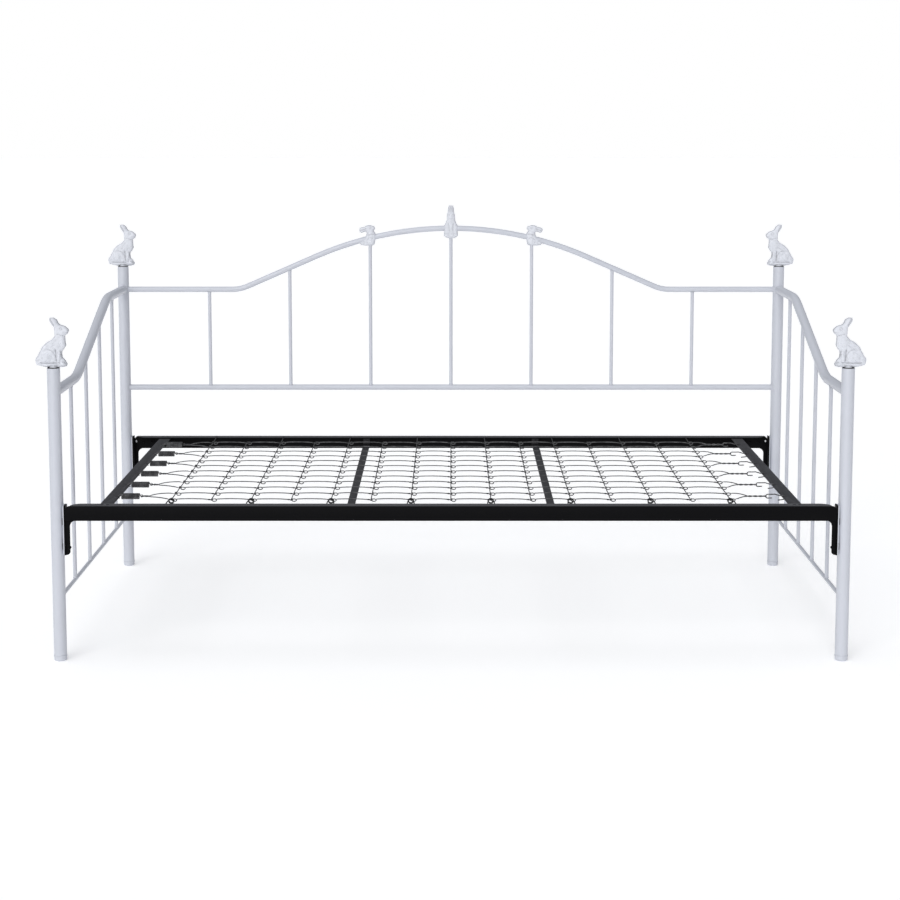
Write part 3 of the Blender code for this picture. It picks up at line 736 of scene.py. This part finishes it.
for name, spindle, outline, blobs, relief in (
    ("left_rail_rabbit", 3, LYING_OUTLINE, LYING, lying_relief),
    ("centre_rail_rabbit", 4, UPRIGHT_OUTLINE, UPRIGHT, upright_relief),
    ("right_rail_rabbit", 5, LYING_OUTLINE, LYING, lying_relief),
):
    low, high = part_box(f"back_spindle_{spindle}")
    x = (low.x + high.x) / 2
    height, slope = along_outline(ARCH, x)
    rabbit = cast(outline, SLAB_HALF, 7, blobs, 0.6, 4, relief)
    if name == "right_rail_rabbit":
        mirrored(rabbit)
    bmesh.ops.translate(rabbit, verts=rabbit.verts, vec=(x, BACK_Y, height))
    piece(f"{name}_casting", rabbit, CAST, "bedstead", "white_cast", name, sharp=60)

# ---------------------------------------------------------------- slot plates
# A pressed steel plate on the inner side of each post, welded at its head and foot and coated with the
# post. The hooks of the deck drop into its two long slots.


def slot_outline(u, low, high, half):
    """A long hole with round ends."""
    lower = arc((u, low + half), half, 180, 360, 8)
    return lower + arc((u, high - half), half, 0, 180, 8)


def drop(bm, centre, radii, rounds=3):
    """Adds a small round blob, such as a rivet head or a spot of weld."""
    made = bmesh.new()
    place = Matrix.Translation(centre) @ Matrix.Diagonal((*radii, 1))
    bmesh.ops.create_icosphere(made, subdivisions=rounds, radius=1, matrix=place)
    add(bm, made)


SLOT_LIFTS = (0.019, 0.081)  # from the foot of the plate to its slots
SLOT_LENGTH = 0.0272
SLOT_HALF = 0.0018
SLOT_OFF = 0.010  # from the middle of the plate, towards the outside of the deck
PLATE_ROUND = 0.004
for name in POST_NAMES:
    low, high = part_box(f"{name}_slot_plate")
    side = 1 if low.x > 0 else -1
    end = 1 if low.y > 0 else -1
    middle = (low.y + high.y) / 2
    inner = low.x if side > 0 else high.x
    turn = PLATE_ROUND
    half = (high.y - low.y) / 2
    outline = arc((half - turn, low.z + turn), turn, -90, 0, 5)
    outline += arc((half - turn, high.z - turn), turn, 0, 90, 5)
    outline += arc((turn - half, high.z - turn), turn, 90, 180, 5)
    outline += arc((turn - half, low.z + turn), turn, 180, 270, 5)
    feet = [low.z + lift for lift in SLOT_LIFTS]
    slots = [slot_outline(SLOT_OFF, foot, foot + SLOT_LENGTH, SLOT_HALF) for foot in feet]
    bm = bmesh.new()
    sheet = side * (high.x - low.x) * X
    plate(bm, outline, slots, sheet, Vector((inner, middle, 0)), end * Y, Z)
    for z in (low.z - 0.001, high.z + 0.001):
        for lean in (-0.0012, 0, 0.0012):
            drop(bm, Vector((inner + side * 0.0018, middle + lean, z)), (0.0015, 0.0012, 0.002))
    piece(f"{name}_plate", bm, POWDER, "bedstead", "white_powder_coat", f"{name}_slot_plate")

# ---------------------------------------------------------------- deck rails and brackets
# Two rolled steel angles carry the deck. A pressed bracket is riveted behind each end of a rail; its leg
# turns down, and its end wing has two hooks that hang in the slots of the post's plate. All is black enamel.


def enamel(name, tint, roughness, shine):
    """Satin black enamel, dipped: a little dust in it, and a soft orange peel."""
    coat = Finish(name, Specular_IOR_Level=shine)
    dust = coat.step(coat.grain(900, 1), 0.55, 0.8)
    pale = tuple(c * 1.7 + 0.002 for c in tint)
    coat.color(coat.blend(dust * 0.5 + 0.25 * coat.grain(14, 3), (*tint, 1), (*pale, 1)))
    coat.roughness(roughness + 0.14 * coat.grain(35, 3))
    coat.bumps(coat.grain(260, 3), 0.0004, 0.5)
    return coat.material


ENAMEL = enamel("black_enamel", (0.0034, 0.0034, 0.0040), 0.36, 0.04)
# A lighter, shinier copy of the enamel for the up-facing faces of the rails: painted light on their tops.
PAINTED_TOP_LIGHT = enamel("painted_top_light_enamel", (0.045, 0.045, 0.050), 0.5, 0.4)
SPECKLED = enamel("speckled_enamel", (0.018, 0.018, 0.021), 0.5, 0.3)
ZINC = Finish("zinc_bolt", Metallic=0.9)
ZINC.color(ZINC.blend(ZINC.grain(400), (0.55, 0.56, 0.58, 1), (0.75, 0.76, 0.78, 1)))
ZINC.roughness(0.3 + 0.2 * ZINC.grain(700))

low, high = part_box("front_side_rail")
RAIL_TOP_Z, RAIL_LOW_Z = high.z, low.z
RAIL_END, RAIL_FACE, RAIL_FLANGE = high.x, -low.y, high.y - low.y
RAIL_ROUND = 0.011  # radius of the upper corners at the ends of a rail
FLANGE_ROUND = 0.027  # radius of the inner corners of its flange
SHEET = 0.003
for end_name, end in (("front", -1), ("rear", 1)):
    bm = bmesh.new()
    reach = RAIL_END - RAIL_ROUND
    shoulder = RAIL_TOP_Z - RAIL_ROUND
    outline = [(-RAIL_END, RAIL_LOW_Z), (RAIL_END, RAIL_LOW_Z)]
    outline += arc((reach, shoulder), RAIL_ROUND, 0, 90, 7)
    outline += arc((-reach, shoulder), RAIL_ROUND, 90, 180, 7)
    face = Vector((0, end * RAIL_FACE, 0))
    plate(bm, outline, [], -end * SHEET * Y, face, X, Z, 0.0008)
    cut = RAIL_FLANGE - FLANGE_ROUND
    strip = [(-reach, SHEET), (reach, SHEET), *arc((reach - FLANGE_ROUND, cut), FLANGE_ROUND, 0, 90, 8)]
    strip += arc((FLANGE_ROUND - reach, cut), FLANGE_ROUND, 90, 180, 8)
    shelf = Vector((0, end * RAIL_FACE, RAIL_TOP_Z))
    plate(bm, strip, [], -SHEET * Z, shelf, X, -end * Y, 0.0004)
    name = f"{end_name}_side_rail"
    rail = piece(f"{end_name}_rail_angle", bm, ENAMEL, "link_spring", "black_enamel", name)
    # Faces that look up take the lighter copy: painted light along the top of each rail.
    rail.data.materials.append(PAINTED_TOP_LIGHT)
    for polygon in rail.data.polygons:
        polygon.material_index = 1 if polygon.normal.z > 0.7 else 0

LEG_WIDTH = 0.0138
LEG_BEND = 0.015
LEG_TOE = 0.0085
BRACKET_SHEET = 0.0025
BEHIND = 0.0033  # a rail's sheet and the play behind it
WING_SHEET = 0.003
WING_REACH = 0.024
WING_ROUND = 0.006
HOOK_LIFTS = (0.022, 0.084)  # from the foot of the bracket to the roots of its hooks
HOOK_SHEET = 0.0024
HOOK_OFF = 0.0088  # from the middle of the post, towards the outside of the deck
RIVETS = (0.897, 0.921)
RIVET_Z = 0.373
BOLT_Z = 0.3765
BOLT_IN = 0.0078
for name in POST_NAMES:
    low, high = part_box(f"{name}_hook_bracket")
    side = 1 if low.x > 0 else -1
    end = 1 if low.y > 0 else -1
    post = POSTS[name][0]
    out = RAIL_END + BEHIND
    leg_in = out - LEG_WIDTH
    foot = low.z
    inner_end = min(abs(low.x), abs(high.x))
    under = RAIL_TOP_Z - BEHIND
    outline = [(out, foot), *arc((out - RAIL_ROUND, under - RAIL_ROUND), RAIL_ROUND, 0, 90, 7)]
    outline += [(inner_end, under), (inner_end, RAIL_LOW_Z)]
    outline += arc((leg_in - LEG_BEND, RAIL_LOW_Z - LEG_BEND), LEG_BEND, 90, 0, 8)
    outline += [(leg_in, foot + 0.018)]
    outline += arc((leg_in + LEG_TOE, foot + LEG_TOE + 0.001), LEG_TOE, 180, 262, 6)
    bm = bmesh.new()
    face = Vector((0, end * (RAIL_FACE - BEHIND), 0))
    plate(bm, outline, [], -end * BRACKET_SHEET * Y, face, side * X, Z)
    wing_top = RAIL_TOP_Z + 0.0015
    wing = arc((0.004, foot + 0.004), 0.004, 180, 270, 5)
    wing += arc((WING_REACH, foot + WING_ROUND), WING_ROUND, -90, 0, 5)
    wing += arc((WING_REACH, wing_top - WING_ROUND), WING_ROUND, 0, 90, 5)
    wing += [(0.0012, wing_top), (0, wing_top - 0.0012)]
    corner = Vector((side * (RAIL_END + 0.0003), end * RAIL_FACE, 0))
    plate(bm, wing, [], side * WING_SHEET * X, corner, -end * Y, Z, 0.0006)
    stand = abs(post.x) - POST_RADIUS
    for root in (foot + lift for lift in HOOK_LIFTS):
        hook = [(RAIL_END + 0.001, root), (stand - 0.0002, root)]
        hook += [(stand, root - 0.0008), (stand, root - 0.0066), (stand + 0.0006, root - 0.008)]
        hook += [(stand + 0.0014, root - 0.008), (stand + 0.002, root - 0.0068)]
        hook += arc((stand - 0.001, root + 0.007), 0.003, 0, 90, 4) + [(RAIL_END + 0.001, root + 0.010)]
        start = Vector((0, end * (abs(post.y) + HOOK_OFF), 0))
        plate(bm, hook, [], end * HOOK_SHEET * Y, start, side * X, Z, 0.0002)
    drop(bm, Vector((side * leg_in, end * (RAIL_FACE - 0.006), foot + 0.0195)), (0.0024, 0.0034, 0.0034))
    behind = end * (RAIL_FACE - BEHIND - BRACKET_SHEET)
    for x in RIVETS:
        drop(bm, Vector((side * x, behind, RIVET_Z)), (0.0042, 0.0022, 0.0042))
    piece(f"{name}_bracket", bm, ENAMEL, "link_spring", "black_enamel", f"{name}_hook_bracket")
    bm = bmesh.new()
    head = [(0, 0.0027), (0.0018, 0.0024), (0.0031, 0.0013), (0.0034, 0), (0, 0)]
    turned(bm, head, Vector((side * (out - BOLT_IN), behind, BOLT_Z)), -end * Y, X, 20)
    piece(f"{name}_bolt", bm, ZINC.material, "link_spring", "spring_wire")

# ---------------------------------------------------------------- end angles and cross straps
# Rolled angles close the deck at its ends, riveted under the rails, with six holes for the springs or
# hooks. Two flat straps cross below the fabric, their ends turned up behind the rails and riveted.

LINK_Y = [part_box(f"left_spring_{k}") for k in range(1, 7)]
LINK_Y = sorted((low.y + high.y) / 2 for low, high in LINK_Y)
HOLE_IN = 0.008
HOLE_RADIUS = 0.0032
ANGLE_ROUND = 0.004
WEB_SHORT = 0.029  # how much sooner the hanging flange ends than the top one
RIVET_IN = 0.009
RIVET_SIZE = (0.0045, 0.0045, 0.0014)
STRAP_BEND = 0.006
for side_name, side in (("left", -1), ("right", 1)):
    low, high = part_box(f"{side_name}_end_angle")
    inner = min(abs(low.x), abs(high.x))
    outer = max(abs(low.x), abs(high.x))
    bm = bmesh.new()
    side_x = outer - ANGLE_ROUND
    side_y = high.y - ANGLE_ROUND
    outline = [(inner, low.y), *arc((side_x, -side_y), ANGLE_ROUND, -90, 0, 4)]
    outline += [*arc((side_x, side_y), ANGLE_ROUND, 0, 90, 4), (inner, high.y)]
    holes = [arc((inner + HOLE_IN, y), HOLE_RADIUS, 0, 345, 15) for y in LINK_Y]
    plate(bm, outline, holes, -SHEET * Z, Vector((0, 0, high.z)), side * X, Y)
    web = high.y - WEB_SHORT
    sides = [(-web, low.z), (web, low.z), (web, high.z - SHEET), (-web, high.z - SHEET)]
    plate(bm, sides, [], -side * SHEET * X, Vector((side * outer, 0, 0)), Y, Z)
    for end in (-1, 1):
        for x in (inner + RIVET_IN, outer - RIVET_IN):
            drop(bm, Vector((side * x, end * (high.y - 0.015), RAIL_TOP_Z - 0.0002)), RIVET_SIZE)
    name = f"{side_name}_end_angle"
    piece(f"{side_name}_angle", bm, SPECKLED, "link_spring", "black_enamel", name)

    low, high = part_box(f"{side_name}_cross_strap")
    knee = (high.y - STRAP_BEND, low.z + STRAP_BEND)
    path = [(high.y, high.z), *arc(knee, STRAP_BEND, 0, -90, 6)]
    path += [(-v, w) for v, w in reversed(path)]
    inside = [(high.y - SHEET, high.z), *arc(knee, STRAP_BEND - SHEET, 0, -90, 6)]
    inside += [(-v, w) for v, w in reversed(inside)]
    bm = bmesh.new()
    plate(bm, [*path, *reversed(inside)], [], (high.x - low.x) * X, Vector((low.x, 0, 0)), Y, Z, 0.0006)
    for end in (-1, 1):
        at = Vector(((low.x + high.x) / 2, end * (high.y - SHEET), high.z - 0.007))
        drop(bm, at, (0.0036, 0.0016, 0.0036))
    name = f"{side_name}_cross_strap"
    piece(f"{side_name}_strap", bm, SPECKLED, "link_spring", "black_enamel", name)

# ---------------------------------------------------------------- link fabric
# Fifteen cross wires carry twelve rows of wire links, each with an eye beyond one cross wire and a hook on
# the next. At the ends two rows at a time run together into a twisted eye. Oval clips hold the front.


def drawn_wire(name, dark, pale, roughness):
    """Drawn steel wire under thin dark lacquer, worn a little brighter here and there."""
    wire = Finish(name, Metallic=0.5, Specular_IOR_Level=0.35)
    worn = wire.step(wire.grain(70, 3), 0.42, 0.66)
    wire.color(wire.blend(worn, (*dark, 1), (*pale, 1)))
    wire.roughness(roughness + 0.16 * wire.grain(300, 2))
    wire.bumps(wire.grain(1400, 2), 0.0002, 0.4)
    return wire.material


LINK_WIRE = drawn_wire("link_wire", (0.060, 0.060, 0.064), (0.125, 0.125, 0.13), 0.34)
DARK_WIRE = drawn_wire("dark_wire", (0.018, 0.018, 0.020), (0.045, 0.045, 0.048), 0.36)
LINK = 0.0013  # radius of the wire of a link, and of a cross wire
CROSS = 0.0013
LINE_PITCH = (LINK_Y[1] - LINK_Y[0]) / 2
LINES = [LINE_PITCH * (k - 5.5) for k in range(12)]
CROSS_PITCH = 0.1
CROSS_X = [CROSS_PITCH * k for k in range(-7, 8)]
LAST_CROSS = 7 * CROSS_PITCH
low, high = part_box("link_fabric")
DECK_Z = (low.z + high.z) / 2


def curl(centre, radius_x, radius_z, start, end, steps):
    """Part of an oval in the upright plane along the bed, as offsets (x, z)."""
    turns = [math.radians(start + (end - start) * k / steps) for k in range(steps + 1)]
    return [(centre[0] + radius_x * math.cos(t), centre[1] + radius_z * math.sin(t)) for t in turns]


EYE = curl((0.0070, -0.0024), 0.0056, 0.0031, 40, 400, 15)
HOOK_CURL = LINK + CROSS + 0.0002  # radius of a link's bend round a cross wire
LINK_SHAPE = EYE + [(0.0150, 0.0004), (0.030, 0.0010), (0.052, 0.0012), (0.075, 0.0007), (0.091, -0.0005)]
LINK_SHAPE += curl((CROSS_PITCH, 0), HOOK_CURL, HOOK_CURL, 215, 405, 7)
paths = []
for y in LINES:
    for x in CROSS_X[:-1]:
        sway = 0.0007 * noise.noise(Vector((x * 31, y * 47, 0)))
        drift = 0.0009 * noise.noise(Vector((x * 19, y * 23, 5)))
        path = []
        for u, w in LINK_SHAPE:
            lift = w + sway * (u > 0.02)
            path.append(Vector((x + u, y + drift * math.sin(u * 31), DECK_Z + lift)))
        paths.append(path)
bm = bmesh.new()
bars(bm, paths, LINK, 6)
RING = curl((0, 0), HOOK_CURL, HOOK_CURL, -45, 215, 8)
STRAND = 0.0012  # from the middle of a twist to its two wires
CLOSE = 0.0014  # how near the two rows come before they twist
EYE_LENGTH = 0.0065
# For the left and right end: the shape that grips the last cross wire, where the row leaves it, where the
# twist starts, and how the row bows on the way.
for side, grip, start, tail, bow in ((-1, RING, 0.006, 0.064, 0.62), (1, EYE, 0.0155, 0.050, 0.95)):
    low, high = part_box("left_spring_1" if side < 0 else "right_end_hook_1")
    tip = min(abs(low.x), abs(high.x)) + 0.0012
    twist = tip - EYE_LENGTH - LAST_CROSS - tail
    paths = []
    for y in LINK_Y:
        for part in (-1, 1):
            row = y + part * LINE_PITCH / 2
            path = [Vector((side * LAST_CROSS + u, row, DECK_Z + w)) for u, w in grip]
            for k in range(1, 8):
                t = k / 8
                aside = part * (CLOSE + (LINE_PITCH / 2 - CLOSE) * (1 - t) ** bow)
                x = side * (LAST_CROSS + start + (tail - start) * t)
                path.append(Vector((x, y + aside, DECK_Z + 0.002 * math.sin(t * math.pi))))
            for k in range(17):
                turn = k * math.tau / 11 + (0 if part > 0 else math.pi)
                x = side * (LAST_CROSS + tail + twist * k / 16)
                path.append(Vector((x, y + STRAND * math.cos(turn), DECK_Z + STRAND * math.sin(turn))))
            if part > 0:
                for k in range(13):
                    turn = math.pi + (0.1 + k / 12 * 0.9) * math.tau * side
                    x = side * (tip - 0.0025) + 0.0042 * math.cos(turn if side > 0 else math.pi - turn)
                    path.append(Vector((x, y + 0.0040 * math.sin(turn), DECK_Z)))
            paths.append(path)
    bars(bm, paths, LINK, 6)
piece("fabric_links", bm, LINK_WIRE, "link_spring", "black_enamel", "link_fabric")

bm = bmesh.new()
FLANGE_IN = RAIL_FACE - RAIL_FLANGE
CLIP_WIRE = 0.0015
CLIP_HALF = (0.0085, 0.0375, 0.0024)  # half a clip's width, length and slope
COIL_HALF = (0.0066, 0.0056)
CLIP_Z = DECK_Z - 0.0030
KNOT = (0.0042, 0.0019, 0.0021)
outer = LINES[-1]
for k, x in enumerate(CROSS_X):
    if k % 2:
        front = [Vector((x, -outer - 0.004, DECK_Z))]
        back = [Vector((x, outer + 0.004, DECK_Z))]
        swept(bm, front + [Vector((x, y, DECK_Z)) for y in LINES] + back, CROSS, 8)
        continue
    over = RAIL_TOP_Z + CROSS + 0.0002
    path = [Vector((x, -outer - 0.006, DECK_Z - 0.001))] + [Vector((x, y, DECK_Z)) for y in LINES]
    path += [Vector((x, FLANGE_IN - 0.012, DECK_Z + 0.001)), Vector((x, FLANGE_IN - 0.002, over))]
    path += [Vector((x, FLANGE_IN + 0.016, over)), Vector((x, FLANGE_IN + 0.0185, over - 0.0008))]
    swept(bm, path, CROSS, 8)
    loop = []
    wide, long, slope = CLIP_HALF
    for step in range(28):
        turn = step * math.tau / 28
        y = -(outer + FLANGE_IN + 0.004) / 2 + long * math.cos(turn)
        loop.append(Vector((x + wide * math.sin(turn), y, CLIP_Z + slope * math.cos(turn))))
    swept(bm, loop, CLIP_WIRE, 8, None, True)
    coil = []
    wide, tall = COIL_HALF
    for step in range(37):
        turn = step * math.tau / 12
        y = -outer - 0.009 + step * 0.00022
        coil.append(Vector((x + wide * math.sin(turn), y, CLIP_Z + tall * math.cos(turn))))
    swept(bm, coil, CLIP_WIRE, 6)
for y in LINES:
    for x in CROSS_X[1:]:
        drop(bm, Vector((x - 0.0062, y, DECK_Z - 0.0009)), KNOT, 1)
piece("fabric_cross_wires", bm, DARK_WIRE, "link_spring", "black_enamel", "link_fabric")

# ---------------------------------------------------------------- springs and end hooks
# Six close-wound springs pull the fabric to the left end; at the right it hangs on six open hooks of thicker
# wire. Each goes through its hole in the end angle.

SPRING_STEEL = drawn_wire("spring_steel", (0.055, 0.055, 0.058), (0.13, 0.13, 0.135), 0.3)
COIL_WIRE = 0.0009
COIL_LENGTH = 0.0455
HOOK_LENGTH = 0.0069  # from the coils to the tip of the inner hook
TURNS = 25
TURN_STEPS = 14
PLAY = 0.0003
SPRING_INNER = [(0.0008, 0.004), (0.002, 0.0008), (0.0045, -0.0024), (0.0078, -0.0018)]
SPRING_INNER += [(0.0092, 0.0012), (0.0072, 0.0036), (0.0038, 0.0034), (0.0012, 0.001)]
END_HOOK_TAIL = [(0.008, -0.0033), (0.0065, -0.0068), (0.001, -0.0085), (-0.011, -0.0098)]
low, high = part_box("right_end_angle")
ANGLE_IN, ANGLE_TOP = low.x, high.z
for k in range(1, 7):
    node = f"left_spring_{k}"
    low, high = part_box(node)
    y = (low.y + high.y) / 2
    radius = (high.y - low.y) / 2
    z = (low.z + high.z) / 2
    near = high.x - HOOK_LENGTH
    far = near - COIL_LENGTH
    bm = bmesh.new()
    path = [Vector((near + x, y, z + w)) for x, w in reversed(SPRING_INNER)]
    path.append(Vector((near + 0.0004, y + 0.0035, z + 0.003)))
    steps = TURNS * TURN_STEPS
    for i in range(steps + 1):
        turn = math.tau * i / TURN_STEPS
        x = near - COIL_LENGTH * i / steps
        path.append(Vector((x, y + radius * math.cos(turn), z + radius * math.sin(turn))))
    swept(bm, path, COIL_WIRE, 6)
    hole = -(ANGLE_IN + HOLE_IN)
    over = ANGLE_TOP + COIL_WIRE + PLAY
    under = ANGLE_TOP - SHEET - COIL_WIRE
    hook = [(far + 0.0005, z + 0.003), (far - 0.002, z + 0.005), (hole + 0.006, over)]
    hook += [(hole + 0.0018, over), (hole, over - 0.0016), (hole, under + 0.001)]
    hook += [(hole + 0.002, under - 0.0006), (hole + 0.009, under - 0.001)]
    swept(bm, [Vector((x, y, w)) for x, w in hook], COIL_WIRE, 8)
    piece(f"spring_{k}", bm, SPRING_STEEL, "link_spring", "spring_wire", node)

    node = f"right_end_hook_{k}"
    low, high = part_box(node)
    y = (low.y + high.y) / 2
    wire = (high.y - low.y) / 2
    top, under = high.z - wire, low.z + wire
    left = low.x + wire
    half = (top - under) / 2
    over = ANGLE_TOP + wire + 0.0002
    bend = arc((left + half, under + half), half, 270, 90, 10)
    hook = [(left + 0.0155, under + 0.0004), (left + 0.009, under), *bend]
    hook += [(ANGLE_IN - 0.018, top + 0.0002), (ANGLE_IN - 0.006, over), (ANGLE_IN + 0.0045, over)]
    hook += [(ANGLE_IN + 0.0075, over - 0.0016)]
    hook += [(ANGLE_IN + x, ANGLE_TOP + w) for x, w in END_HOOK_TAIL]
    bm = bmesh.new()
    swept(bm, [Vector((x, y, w)) for x, w in hook], wire, 10)
    piece(f"end_hook_{k}", bm, SPRING_STEEL, "link_spring", "spring_wire", node)

low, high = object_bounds()
